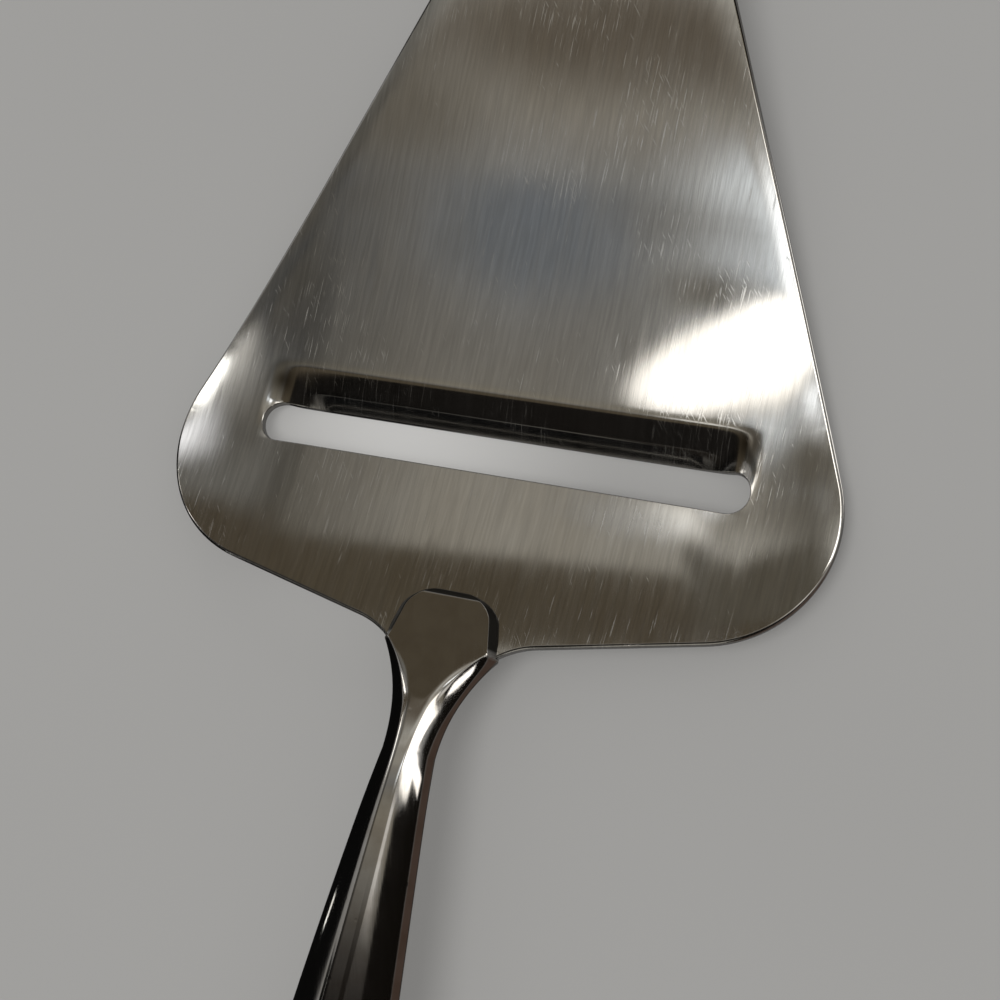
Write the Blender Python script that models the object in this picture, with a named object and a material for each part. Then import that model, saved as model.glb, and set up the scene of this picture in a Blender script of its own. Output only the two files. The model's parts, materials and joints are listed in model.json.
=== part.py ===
"""A cheese slicer: a stamped steel blade with one cutting slot, held in a hollow two-part handle.

Metres, +Z up. The slicer lies as it does on a table, on the lip of its slot and the end of its handle.
It is drawn along its own length first: s runs along the bent sheet, from 0 at the heel side of the slot
up to the tip and down (negative) to the end of the handle. n is the height above the middle of the sheet.
"""

from math import atan2, ceil, cos, degrees, pi, radians, sin, tan

import bmesh
import bpy
from mathutils import Vector

MM = 0.001

# Sheet of the blade
SHEET = 1.0 * MM
TIP = 66.0 * MM
TIP_CORNER = 8.0 * MM
SIDE_AT_SLOT = 37.8 * MM
SIDE_SLOPE = 0.402
HEEL_AT_MIDDLE = -19.2 * MM
HEEL_SLOPE = 0.22
HEEL_CORNER = 13.5 * MM
TANG_HALF = 1.5 * MM
TANG_START = -25.0 * MM
TANG_END = -78.0 * MM
TANG_FILLET = 2.0 * MM
TANG_CORNER = 0.8 * MM
FLARE_OUTSIDE = 1.7 * MM
FLARE_INSIDE = 1.5 * MM
FLARE_SLOPE = 0.75
FLARE_FILLET = 9.0 * MM

# Cutting slot, with the lip on its tip side pressed down and ground to an edge
SLOT_LENGTH = 54.5 * MM
SLOT_WIDTH = 4.5 * MM
LIP_DROP = 2.0 * MM
LIP_RUN = 5.5 * MM
LIP_RAMP = 5.0 * MM
LIP_END = 1.1 * MM
BEVEL_RUN = 1.6 * MM
EDGE_LEFT = 0.25 * MM

# Side profile: the sheet is flat, then rises along the heel, and the handle arches over from there
BEND_START = 29.4 * MM
HEEL_END = -12.0 * MM
RISE_END = -24.0 * MM
NECK_END = -38.0 * MM
HANDLE_END = -138.5 * MM
HEEL_RISE = radians(15.2)
NECK_RISE = radians(22.0)
GRIP_RISE = radians(10.5)
END_RISE = radians(-1.0)
ARCS = ((HEEL_END, HEEL_RISE), (RISE_END, NECK_RISE), (NECK_END, GRIP_RISE), (HANDLE_END, END_RISE))

# Plan and height of the handle
TONGUE_END = -12.9 * MM
TONGUE_CORNER = -19.0 * MM
NECK = -30.0 * MM
TONGUE_HALF_TOP = 4.7 * MM
TONGUE_HALF = 6.2 * MM
NECK_HALF = 2.82 * MM
SWELL_HALF = 8.8 * MM
SWELL_RUN = 90.0 * MM
TONGUE_HEIGHT = 1.6 * MM
SWELL_HEIGHT = 5.7 * MM
TONGUE_ROUND = 2.6 * MM
END_ROUND = 15.0 * MM
STRIP_SHARE_TONGUE = 0.88
STRIP_SHARE_GRIP = 0.27
STRIP_RUN = 15.0 * MM
END_CAP_SHARE = 0.22

# Inside of the handle
SHELL = 0.7 * MM
HOLLOW_START = -27.0 * MM
FILLER_START = -42.0 * MM
CLEARANCE = 0.3 * MM

# Fineness of the round stretches
ARC_STEP = radians(11.0)
BEVEL_POINTS = 5
BEVEL_POWER = 1.8
STRIP_POWER = 1.8
TONGUE_POWER = 2.2
END_POWER = 2.4
TONGUE_STEP = 0.9 * MM
NECK_STEP = 2.2 * MM
GRIP_STEP = 8.0 * MM
BEND_STEP = 6.0 * MM
TANG_STEP = 7.0 * MM
LIP_STEPS = 6
RAMP_STEPS = 4
END_STEPS = 5


def smooth(share):
    share = min(max(share, 0.0), 1.0)
    return share * share * (3.0 - 2.0 * share)


def steps(start, stop, size):
    """Even values from start to stop, no further apart than size."""
    count = max(1, ceil(abs(stop - start) / size - 1e-9))
    return [start + (stop - start) * i / count for i in range(count + 1)]


def join_steps(*runs):
    """Runs of values laid end to end, with each shared end kept once."""
    values = list(runs[0])
    for run in runs[1:]:
        values += run[1:]
    return values


# Side profile

def profile(s):
    """The place (y, z) and the rise, an angle, of the middle of the sheet at s."""
    if s >= BEND_START:
        return s, 0.0, 0.0
    y, z, rise, begin = BEND_START, 0.0, 0.0, BEND_START
    for end, end_rise in ARCS:
        length = begin - end
        run = begin - s if s > end or end == HANDLE_END else length
        curve = (end_rise - rise) / length
        turned = rise + curve * run
        y -= (sin(turned) - sin(rise)) / curve
        z += (cos(rise) - cos(turned)) / curve
        rise, begin = turned, end
        if s > end:
            break
    return y, z, rise


def place(x, s, n):
    """A point of the slicer, x across, s along the sheet and n above its middle."""
    y, z, rise = profile(s)
    return Vector((x, y + n * sin(rise), z + n * cos(rise)))


# Blade

def fillet(corners):
    """An outline through (x, y, radius) corners, with an arc at each corner that has a radius."""
    outline = []
    for i, (x, y, radius) in enumerate(corners):
        corner = Vector((x, y))
        if not radius:
            outline.append(corner)
            continue
        to_last = (Vector(corners[i - 1][:2]) - corner).normalized()
        to_next = (Vector(corners[(i + 1) % len(corners)][:2]) - corner).normalized()
        half = to_last.angle(to_next) / 2
        centre = corner + (to_last + to_next).normalized() * (radius / sin(half))
        first = corner + to_last * (radius / tan(half)) - centre
        last = corner + to_next * (radius / tan(half)) - centre
        turn = first.angle_signed(last)
        for step in steps(0.0, -turn, ARC_STEP):
            outline.append(centre + Vector((first.x * cos(step) - first.y * sin(step),
                                            first.x * sin(step) + first.y * cos(step))))
    return outline


def moved_out(corners, grow):
    """The (x, y, radius) corners of a clockwise outline, with all of its sides moved out by grow."""
    moved = []
    for i, (x, y, radius) in enumerate(corners):
        corner = Vector((x, y))
        to_last = (Vector(corners[i - 1][:2]) - corner).normalized()
        to_next = (Vector(corners[(i + 1) % len(corners)][:2]) - corner).normalized()
        half = to_last.angle(to_next) / 2
        out = grow if to_last.cross(to_next) > 0.0 else -grow
        corner -= (to_last + to_next).normalized() * (out / sin(half))
        moved.append((corner.x, corner.y, radius + out))
    return moved


def blade_outline(grow=0.0):
    """The flat blank's outline, moved out by grow. The tang flares into the heel under the tongue."""
    corner_y = (HEEL_AT_MIDDLE + HEEL_SLOPE * SIDE_AT_SLOT) / (1.0 + HEEL_SLOPE * SIDE_SLOPE)
    flare_x = TONGUE_HALF + FLARE_OUTSIDE
    flare_y = HEEL_AT_MIDDLE + HEEL_SLOPE * flare_x
    flare_run = FLARE_OUTSIDE + FLARE_INSIDE
    right = [
        (SIDE_AT_SLOT - SIDE_SLOPE * TIP, TIP, TIP_CORNER),
        (SIDE_AT_SLOT - SIDE_SLOPE * corner_y, corner_y, HEEL_CORNER),
        (flare_x, flare_y, FLARE_FILLET),
        (flare_x - flare_run, flare_y - FLARE_SLOPE * flare_run, TANG_FILLET),
        (TANG_HALF, TANG_START, TANG_FILLET),
        (TANG_HALF, TANG_END, TANG_CORNER),
    ]
    left = [(-x, y, radius) for x, y, radius in reversed(right)]
    return fillet(moved_out(right + left, grow))


def slot_outline():
    end = SLOT_LENGTH / 2
    radius = SLOT_WIDTH / 2
    right = [(end, 0.0, radius), (end, SLOT_WIDTH, radius)]
    left = [(-x, y, radius) for x, y, radius in reversed(right)]
    return fillet(right + left)


def lip_share(x):
    """How far the lip is pressed down at x: 1 along the slot, 0 by LIP_END before the end of the slot."""
    return smooth((SLOT_LENGTH / 2 - LIP_END - abs(x)) / LIP_RAMP)


def press(x, s, n):
    """The height of a point of the blank after pressing the lip and grinding its upper face."""
    from_edge = s - SLOT_WIDTH
    if from_edge < -SLOT_WIDTH / 2 or from_edge > LIP_RUN:
        return n
    share = lip_share(x)
    drop = LIP_DROP * share * smooth(1.0 - max(from_edge, 0.0) / LIP_RUN)
    if n > 0.0:
        drop += (SHEET - EDGE_LEFT) * share * max(0.0, 1.0 - max(from_edge, 0.0) / BEVEL_RUN)
    return n - drop


def flat_blank(name, outlines, thickness):
    """A flat sheet of the given outlines, as a welded mesh, its middle at z = 0."""
    curve = bpy.data.curves.new(name + "_outline", "CURVE")
    curve.dimensions = "2D"
    curve.fill_mode = "BOTH"
    curve.extrude = thickness / 2
    for outline in outlines:
        spline = curve.splines.new("POLY")
        spline.points.add(len(outline) - 1)
        for point, corner in zip(spline.points, outline):
            point.co = (corner.x, corner.y, 0.0, 1.0)
        spline.use_cyclic_u = True
    guide = bpy.data.objects.new(name + "_outline", curve)
    bpy.context.scene.collection.objects.link(guide)
    bpy.context.view_layer.update()
    graph = bpy.context.evaluated_depsgraph_get()
    mesh = bpy.data.meshes.new_from_object(guide.evaluated_get(graph))
    bpy.data.objects.remove(guide)
    shape = bmesh.new()
    shape.from_mesh(mesh)
    bpy.data.meshes.remove(mesh)
    bmesh.ops.remove_doubles(shape, verts=shape.verts, dist=0.001 * MM)
    return shape


def cut_lines(shape, axis, values):
    """Cuts edges into the flat blank at each value of x (axis 0) or y (axis 1), where it is to bend."""
    normal = Vector((1.0, 0.0, 0.0)) if axis == 0 else Vector((0.0, 1.0, 0.0))
    for value in values:
        everything = shape.verts[:] + shape.edges[:] + shape.faces[:]
        bmesh.ops.bisect_plane(shape, geom=everything, dist=0.001 * MM,
                               plane_co=normal * value, plane_no=normal)


def bent_sheet(name, outlines, thickness, pressed):
    """The blank cut at its bend lines, with its lip pressed where asked, then bent to the side profile."""
    shape = flat_blank(name, outlines, thickness)
    bmesh.ops.dissolve_limit(shape, angle_limit=radians(1.0), verts=shape.verts, edges=shape.edges)
    cut_lines(shape, 1, steps(BEND_START, SLOT_WIDTH + LIP_RUN, BEND_STEP))
    cut_lines(shape, 1, steps(0.0, RISE_END, BEND_STEP))
    cut_lines(shape, 1, steps(RISE_END, TANG_END, TANG_STEP))
    if pressed:
        lip = steps(BEVEL_RUN, LIP_RUN, LIP_RUN / LIP_STEPS)
        cut_lines(shape, 1, [SLOT_WIDTH] + [SLOT_WIDTH + run for run in lip])
        ramp_end = SLOT_LENGTH / 2 - LIP_END
        ramp = steps(ramp_end - LIP_RAMP, ramp_end, LIP_RAMP / RAMP_STEPS)
        cut_lines(shape, 0, [side * x for x in ramp for side in (-1, 1)])
    for vert in shape.verts:
        x, s, n = vert.co
        vert.co = place(x, s, press(x, s, n) if pressed else n)
    bmesh.ops.triangulate(shape, faces=shape.faces[:])
    bmesh.ops.recalc_face_normals(shape, faces=shape.faces[:])
    return shape


# Handle

def rounding(s):
    """The share of the full width and height that is left at the rounded ends of the handle."""
    to_end = min(max((HANDLE_END + END_ROUND - s) / END_ROUND, 0.0), 1.0)
    to_tongue = min(max((s - TONGUE_END + TONGUE_ROUND) / TONGUE_ROUND, 0.0), 1.0)
    left = (1.0 - max(to_end, to_tongue) ** END_POWER) ** (1.0 / END_POWER)
    return END_CAP_SHARE + (1.0 - END_CAP_SHARE) * left


def half_width(s):
    if s > TONGUE_CORNER:
        share = (TONGUE_END - s) / (TONGUE_END - TONGUE_CORNER)
        return TONGUE_HALF_TOP + (TONGUE_HALF - TONGUE_HALF_TOP) * share
    if s > NECK:
        share = (s - NECK) / (TONGUE_CORNER - NECK)
        return NECK_HALF + (TONGUE_HALF - NECK_HALF) * share**TONGUE_POWER
    share = min((NECK - s) / SWELL_RUN, 1.0)
    return NECK_HALF + (SWELL_HALF - NECK_HALF) * sin(share * pi / 2)


def half_height(s):
    share = min(max((TONGUE_CORNER - s) / SWELL_RUN, 0.0), 1.0)
    return TONGUE_HEIGHT + (SWELL_HEIGHT - TONGUE_HEIGHT) * sin(share * pi / 2)


def strip_share(s):
    """How much of the width the flat strip along the handle's face takes up."""
    share = min(max((TONGUE_CORNER - s) / STRIP_RUN, 0.0), 1.0)
    return STRIP_SHARE_GRIP + (STRIP_SHARE_TONGUE - STRIP_SHARE_GRIP) * (1.0 - share) ** STRIP_POWER


def quarter(s, inset, base):
    """A quarter of the section at s, as (x, n) from the side at height base up to the flat strip's edge."""
    left = rounding(s)
    wide = half_width(s) * left - inset
    high = half_height(s) * (left if s < NECK else left**0.5) - inset
    strip = max(half_width(s) * left * strip_share(s) - inset / 2, inset / 2)
    points = []
    for n in steps(base, high, (high - base) / BEVEL_POINTS):
        points.append((strip + (wide - strip) * (1.0 - (n / high) ** BEVEL_POWER), n))
    return points


def half_section(s, side):
    """The outside of one half of the handle: side is 1 for the front and -1 for the back."""
    right = quarter(s, 0.0, CLEARANCE / 2)
    return [(x, side * n) for x, n in right] + [(-x, side * n) for x, n in reversed(right)]


def full_section(s, inset):
    right = quarter(s, inset, 0.0)
    upper = right + [(-x, n) for x, n in reversed(right)]
    return upper + [(x, -n) for x, n in reversed(upper[1:-1])]


def loft(sections):
    """A closed solid through (s, section) pairs, each section a ring of as many (x, n) points."""
    shape = bmesh.new()
    rings = [[shape.verts.new(place(x, s, n)) for x, n in section] for s, section in sections]
    for near, far in zip(rings, rings[1:]):
        for i, corner in enumerate(near):
            shape.faces.new((near[i - 1], corner, far[i], far[i - 1]))
    shape.faces.new(rings[0])
    shape.faces.new(rings[-1])
    bmesh.ops.triangulate(shape, faces=shape.faces[:])
    bmesh.ops.recalc_face_normals(shape, faces=shape.faces[:])
    return shape


def end_stations(start, stop):
    """Stations round an end, closing up towards stop."""
    return [start + (stop - start) * sin(i / END_STEPS * pi / 2) for i in range(END_STEPS + 1)]


def handle_stations(start, stop):
    """Stations along the handle between start and stop, closest at the tongue, the neck and the end."""
    stations = join_steps(
        list(reversed(end_stations(TONGUE_END - TONGUE_ROUND, TONGUE_END))),
        steps(TONGUE_END - TONGUE_ROUND, TONGUE_CORNER, TONGUE_STEP),
        steps(TONGUE_CORNER, NECK, NECK_STEP),
        steps(NECK, HANDLE_END + END_ROUND, GRIP_STEP),
        end_stations(HANDLE_END + END_ROUND, HANDLE_END),
    )
    inner = [s for s in stations if start - CLEARANCE > s > stop + CLEARANCE]
    return [start] + inner + [stop]


# Objects

def material(name, colour, roughness, metallic):
    made = bpy.data.materials.new(name)
    made.use_nodes = True
    shader = made.node_tree.nodes["Principled BSDF"]
    shader.inputs["Base Color"].default_value = (*colour, 1.0)
    shader.inputs["Roughness"].default_value = roughness
    shader.inputs["Metallic"].default_value = metallic
    return made


def finish_object(name, shape, collection, parent, surface=None):
    mesh = bpy.data.meshes.new(name)
    shape.to_mesh(mesh)
    shape.free()
    made = bpy.data.objects.new(name, mesh)
    collection.objects.link(made)
    made.parent = parent
    if surface:
        mesh.materials.append(surface)
        mesh.shade_smooth()
        mesh.set_sharp_from_angle(angle=radians(30.0))
    else:
        made.hide_render = True
        made.display_type = "WIRE"
    return made


def cut(made, cutter):
    """Takes the cutter out of the piece. They share stations, where the exact solver leaves open slivers."""
    boolean = made.modifiers.new("cut_" + cutter.name, "BOOLEAN")
    boolean.operation = "DIFFERENCE"
    boolean.solver = "MANIFOLD"
    boolean.object = cutter


def rest_tilt():
    """The angle that brings the underside of the handle down to the table with the lip's edge on it."""
    edge = place(0.0, SLOT_WIDTH, -SHEET / 2 - LIP_DROP)
    angles = []
    for s in handle_stations(NECK, HANDLE_END):
        under = place(0.0, s, -quarter(s, 0.0, 0.0)[-1][1])
        angles.append(atan2(under.z - edge.z, edge.y - under.y))
    return min(angles)


def stand(parent, parts):
    """Turns the slicer to the way it lies, with its lowest point on z = 0 and its middle over the origin."""
    parent.rotation_euler = (rest_tilt(), 0.0, 0.0)
    bpy.context.view_layer.update()
    graph = bpy.context.evaluated_depsgraph_get()
    points = []
    for part in parts:
        seen = part.evaluated_get(graph)
        mesh = seen.to_mesh()
        points += [seen.matrix_world @ vert.co for vert in mesh.vertices]
        seen.to_mesh_clear()
    y_values = [point.y for point in points]
    parent.location = (0.0, -(min(y_values) + max(y_values)) / 2, -min(point.z for point in points))
    bpy.context.view_layer.update()


def build():
    for old in list(bpy.data.objects):
        bpy.data.objects.remove(old, do_unlink=True)
    slicer = bpy.data.collections.new("cheese_slicer")
    cutters = bpy.data.collections.new("cutters")
    bpy.context.scene.collection.children.link(slicer)
    bpy.context.scene.collection.children.link(cutters)
    lying = bpy.data.objects.new("lying_slicer", None)
    slicer.objects.link(lying)

    steel = material("brushed_stainless", (0.50, 0.48, 0.45), 0.32, 1.0)
    polished = material("polished_handle", (0.62, 0.60, 0.57), 0.10, 1.0)
    polished_back = material("polished_handle_back", (0.62, 0.60, 0.57), 0.12, 1.0)
    cement = material("handle_cement", (0.55, 0.52, 0.46), 0.90, 0.0)

    blade = finish_object("slicer_blade", bent_sheet(
        "slicer_blade", [blade_outline(), slot_outline()], SHEET, True), slicer, lying, steel)
    tang_room = finish_object("tang_room", bent_sheet(
        "tang_room", [blade_outline(CLEARANCE)], SHEET + 2 * CLEARANCE, False), cutters, lying)
    hollow_stations = handle_stations(HOLLOW_START, HANDLE_END + SHELL)
    hollow = finish_object("handle_hollow", loft(
        [(s, full_section(s, SHELL)) for s in hollow_stations]), cutters, lying)

    whole = handle_stations(TONGUE_END, HANDLE_END)
    halves = []
    sides = (("handle_front_shell", 1, polished), ("handle_back_shell", -1, polished_back))
    for name, side, surface in sides:
        half = finish_object(name, loft([(s, half_section(s, side)) for s in whole]), slicer, lying, surface)
        cut(half, hollow)
        cut(half, tang_room)
        halves.append(half)

    filler_stations = handle_stations(FILLER_START, HANDLE_END + SHELL + CLEARANCE)
    filler = finish_object("handle_filler", loft(
        [(s, full_section(s, SHELL + CLEARANCE)) for s in filler_stations]), slicer, lying, cement)
    cut(filler, tang_room)

    stand(lying, [blade, *halves, filler])
    tilt, rise = degrees(lying.rotation_euler.x), lying.location.z / MM
    print(f"lies tilted by {tilt:.2f} degrees, raised by {rise:.2f} mm")


build()
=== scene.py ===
"""Looks of the cheese slicer: fine meshes, worn metal, floor, light and camera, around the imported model.

Sizes are in metres. The slicer is drawn as in the model: s runs along the bent sheet, from 0 at the heel
side of the slot up to the tip and down (negative) to the end of the handle, and n is the height above the
middle of the sheet. The matrix LYING then lays the drawn slicer on the table.
"""

import json
from math import atan2, ceil, cos, exp, hypot, log, pi, radians, sin, tan

import bmesh
import bpy
from mathutils import Matrix, Vector


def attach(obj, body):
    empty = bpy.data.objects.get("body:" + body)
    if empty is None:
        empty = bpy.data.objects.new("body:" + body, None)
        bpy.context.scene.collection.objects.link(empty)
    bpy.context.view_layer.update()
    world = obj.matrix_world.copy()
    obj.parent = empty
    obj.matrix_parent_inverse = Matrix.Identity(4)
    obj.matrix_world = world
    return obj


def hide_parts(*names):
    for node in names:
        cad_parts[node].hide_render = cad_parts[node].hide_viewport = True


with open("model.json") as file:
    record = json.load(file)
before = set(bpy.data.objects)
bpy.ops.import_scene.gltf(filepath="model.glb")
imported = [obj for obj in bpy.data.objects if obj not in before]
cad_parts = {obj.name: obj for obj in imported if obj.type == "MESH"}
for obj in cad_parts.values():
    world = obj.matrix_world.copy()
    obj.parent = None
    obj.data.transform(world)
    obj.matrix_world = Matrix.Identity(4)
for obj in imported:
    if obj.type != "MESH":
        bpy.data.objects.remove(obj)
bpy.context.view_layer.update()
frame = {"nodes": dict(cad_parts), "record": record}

MM = 0.001

# Sheet of the blade, as in the model
SHEET = 1.0 * MM
TIP = 66.0 * MM
TIP_CORNER = 8.0 * MM
SIDE_AT_SLOT = 37.8 * MM
SIDE_SLOPE = 0.402
HEEL_AT_MIDDLE = -19.2 * MM
HEEL_SLOPE = 0.22
HEEL_CORNER = 13.5 * MM
TANG_HALF = 1.5 * MM
TANG_START = -25.0 * MM
TANG_END = -78.0 * MM
TANG_FILLET = 2.0 * MM
TANG_CORNER = 0.8 * MM
FLARE_OUTSIDE = 1.7 * MM
FLARE_INSIDE = 1.5 * MM
FLARE_SLOPE = 0.75
FLARE_FILLET = 9.0 * MM
SLOT_LENGTH = 54.5 * MM
SLOT_WIDTH = 4.5 * MM
LIP_DROP = 2.0 * MM
BEVEL_RUN = 1.6 * MM
EDGE_LEFT = 0.25 * MM

# By how much the finer shape keeps within the model's box
TRIM = 0.045 * MM

# Finer shape of the pressed lip: a tilted face that runs out at its ends, in a shallow dish of the sheet
LIP_FACE = 4.1 * MM
LIP_HALF = 28.0 * MM
LIP_END_RUN = 4.6 * MM
LIP_BEND = 0.2 * MM
BEVEL_END_RUN = 5.0 * MM
BEVEL_BEND = 0.04
DISH_DROP = 0.5 * MM
DISH_RUN = 20.0 * MM
EAR_START = 21.0 * MM
EAR_RUN = 7.0 * MM
EAR_SHARE = 0.8
EAR_MIDDLE = 5.0 * MM
EAR_UP = 19.5 * MM
EAR_DOWN = 16.0 * MM
DROOP = 0.14 * MM
DROOP_RUN = 2.6 * MM
DROOP_START = -12.0 * MM
EDGE_ROUND = 0.32 * MM
SLOT_ROUND = 0.12 * MM

# Side profile, as in the model
BEND_START = 29.4 * MM
HANDLE_END = -138.5 * MM
ARCS = (
    (-12.0 * MM, radians(15.2)),
    (-24.0 * MM, radians(22.0)),
    (-38.0 * MM, radians(10.5)),
    (HANDLE_END, radians(-1.0)),
)

# Handle, as in the model
TONGUE_END = -12.9 * MM
TONGUE_CORNER = -19.0 * MM
NECK = -30.0 * MM
TONGUE_HALF_TOP = 4.7 * MM
TONGUE_HALF = 6.2 * MM
NECK_HALF = 2.82 * MM
SWELL_HALF = 8.8 * MM
SWELL_RUN = 90.0 * MM
TONGUE_HEIGHT = 1.6 * MM
SWELL_HEIGHT = 5.7 * MM
TONGUE_ROUND = 2.6 * MM
END_ROUND = 15.0 * MM
STRIP_SHARE_TONGUE = 0.88
STRIP_SHARE_GRIP = 0.27
STRIP_RUN = 15.0 * MM
END_CAP_SHARE = 0.22
SHELL = 0.7 * MM
HOLLOW_START = -27.0 * MM
BEVEL_POWER = 1.8
STRIP_POWER = 1.8
TONGUE_POWER = 2.2
END_POWER = 2.4

# Finer shape of the handle
TONGUE_EASE = 1.2 * MM
TONGUE_RIM = 0.9 * MM
TONGUE_FOOT = 0.2 * MM
FOOT_RUN = 2.0 * MM
RIM_CAP_SHARE = 0.42
TONGUE_END_POWER = 2.0
RIDGE_ROUND = 0.16 * MM
RIDGE_ROUND_SHARE = 0.3
RIDGE_EASE = 1.15 * MM
RIDGE_EASE_SHARE = 0.62
RIDGE_SLOPE = 0.5
RIDGE_RUN = 7.0 * MM
SEAM = 0.03 * MM
SEAM_CHAMFER = 0.05 * MM
TANG_GAP = 0.02 * MM

# Fineness of the meshes
ARC_STEP = radians(3.0)
SHEET_STEP = 1.5 * MM
SLOT_STEP = 0.4 * MM
LIP_STEP = 0.2 * MM
LIP_MARGIN = 1.0 * MM
SLOT_END_STEP = 0.25 * MM
SLOT_END_INSIDE = 7.0 * MM
SLOT_END_OUTSIDE = 2.0 * MM
RIM_STEPS = 5
TANG_STEP = 1.0 * MM
BEVEL_STEPS = 13
RIDGE_STEPS = 5
EASE_STEPS = 8
STRIP_STEPS = 3
WALL_STEPS = 6
TONGUE_END_STEPS = 26
HANDLE_END_STEPS = 24
SHELL_STEP = 0.35 * MM
HOLLOW_STEP = 1.0 * MM
GRIP_COARSENESS = 3.0
SHARP_ANGLE = radians(38.0)
FLAT_ANGLE = radians(1.0)
MERGE = 0.001 * MM

# Limits of the sums: the slack in a count, and the widths past a soft bend after which it counts as straight
COUNT_SLACK = 1e-9
STRAIGHT_AFTER = 60.0


def clamp(share):
    return min(max(share, 0.0), 1.0)


def smooth(share):
    share = clamp(share)
    return share * share * (3.0 - 2.0 * share)


def soft_ramp(run, width):
    """0 below 0 and run above it, with a bend of the given width between them."""
    if run > STRAIGHT_AFTER * width:
        return run
    return width * log(1.0 + exp(run / width))


def steps(start, stop, size):
    """Even values from start to stop, no further apart than size."""
    count = max(1, ceil(abs(stop - start) / size - COUNT_SLACK))
    return [start + (stop - start) * i / count for i in range(count + 1)]


# Place on the table, from the model's own mount on the flat underside of the tip

MOUNT = frame["record"]["mounts"][0]
MOUNT_S = 48.0 * MM
MOUNT_AXIS = Vector(MOUNT["axis"])
TILT = atan2(MOUNT_AXIS.y, -MOUNT_AXIS.z)
TURN = Matrix.Rotation(TILT, 4, "X")
LYING = Matrix.Translation(Vector(MOUNT["pos_m"]) - TURN @ Vector((0.0, MOUNT_S, -SHEET / 2))) @ TURN


def profile(s):
    """The place (y, z) and the rise, an angle, of the middle of the sheet at s."""
    if s >= BEND_START:
        return s, 0.0, 0.0
    y, z, rise, begin = BEND_START, 0.0, 0.0, BEND_START
    for end, end_rise in ARCS:
        length = begin - end
        run = begin - s if s > end or end == HANDLE_END else length
        curve = (end_rise - rise) / length
        turned = rise + curve * run
        y -= (sin(turned) - sin(rise)) / curve
        z += (cos(rise) - cos(turned)) / curve
        rise, begin = turned, end
        if s > end:
            break
    return y, z, rise


def place(x, s, n):
    """A point of the slicer on the table, x across, s along the sheet and n above its middle."""
    y, z, rise = profile(s)
    return LYING @ Vector((x, y + n * sin(rise), z + n * cos(rise)))


# Blade

def fillet(corners):
    """An outline through (x, y, radius) corners, with an arc at each corner."""
    outline = []
    for i, (x, y, radius) in enumerate(corners):
        corner = Vector((x, y))
        to_last = (Vector(corners[i - 1][:2]) - corner).normalized()
        to_next = (Vector(corners[(i + 1) % len(corners)][:2]) - corner).normalized()
        half = to_last.angle(to_next) / 2
        centre = corner + (to_last + to_next).normalized() * (radius / sin(half))
        first = corner + to_last * (radius / tan(half)) - centre
        last = corner + to_next * (radius / tan(half)) - centre
        turn = first.angle_signed(last)
        for step in steps(0.0, -turn, ARC_STEP):
            outline.append(centre + Vector((first.x * cos(step) - first.y * sin(step),
                                            first.x * sin(step) + first.y * cos(step))))
    return outline


def moved_out(corners, grow):
    """The (x, y, radius) corners of a clockwise outline, with all of its sides moved out by grow."""
    moved = []
    for i, (x, y, radius) in enumerate(corners):
        corner = Vector((x, y))
        to_last = (Vector(corners[i - 1][:2]) - corner).normalized()
        to_next = (Vector(corners[(i + 1) % len(corners)][:2]) - corner).normalized()
        half = to_last.angle(to_next) / 2
        out = grow if to_last.cross(to_next) > 0.0 else -grow
        corner -= (to_last + to_next).normalized() * (out / sin(half))
        moved.append((corner.x, corner.y, radius + out))
    return moved


def both_sides(right):
    """The corners of an outline that mirrors its right side, from the top down, on the left."""
    return right + [(-x, y, radius) for x, y, radius in reversed(right)]


def blade_outline(grow):
    """The flat blank's outline, moved out by grow (or in, where it is negative)."""
    corner_y = (HEEL_AT_MIDDLE + HEEL_SLOPE * SIDE_AT_SLOT) / (1.0 + HEEL_SLOPE * SIDE_SLOPE)
    flare_x = TONGUE_HALF + FLARE_OUTSIDE
    flare_y = HEEL_AT_MIDDLE + HEEL_SLOPE * flare_x
    flare_run = FLARE_OUTSIDE + FLARE_INSIDE
    right = [
        (SIDE_AT_SLOT - SIDE_SLOPE * TIP, TIP, TIP_CORNER),
        (SIDE_AT_SLOT - SIDE_SLOPE * corner_y, corner_y, HEEL_CORNER),
        (flare_x, flare_y, FLARE_FILLET),
        (flare_x - flare_run, flare_y - FLARE_SLOPE * flare_run, TANG_FILLET),
        (TANG_HALF, TANG_START, TANG_FILLET),
        (TANG_HALF, TANG_END, TANG_CORNER),
    ]
    return fillet(moved_out(both_sides(right), grow))


def slot_outline(grow):
    """The slot's outline, moved out into the sheet by grow."""
    end = SLOT_LENGTH / 2
    radius = SLOT_WIDTH / 2
    return fillet(moved_out(both_sides([(end, SLOT_WIDTH, radius), (end, 0.0, radius)]), grow))


def lip_drop(x, s):
    """How far the pressed lip lies below the sheet: a tilted face that runs out softly at its ends."""
    face_slope = (LIP_DROP - DISH_DROP - TRIM) / LIP_FACE
    drop = face_slope * soft_ramp(SLOT_WIDTH + LIP_FACE - max(s, SLOT_WIDTH), LIP_BEND)
    return smooth(s / SLOT_WIDTH) * drop * smooth((LIP_HALF - abs(x)) / LIP_END_RUN)


def dish_drop(x, s):
    """The shallow dish that pressing the lip draws into the sheet, up from the slot and round its ends."""
    if s > SLOT_WIDTH:
        over_lip = clamp(1.0 - (s - SLOT_WIDTH) / DISH_RUN) ** 2
    else:
        over_lip = smooth(s / SLOT_WIDTH)
    reach = EAR_UP if s > EAR_MIDDLE else EAR_DOWN
    beside_slot = EAR_SHARE * (1.0 - clamp(abs(s - EAR_MIDDLE) / reach) ** 2) ** 2
    ear = smooth((abs(x) - EAR_START) / EAR_RUN)
    return DISH_DROP * ((1.0 - ear) * over_lip + ear * beside_slot)


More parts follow.
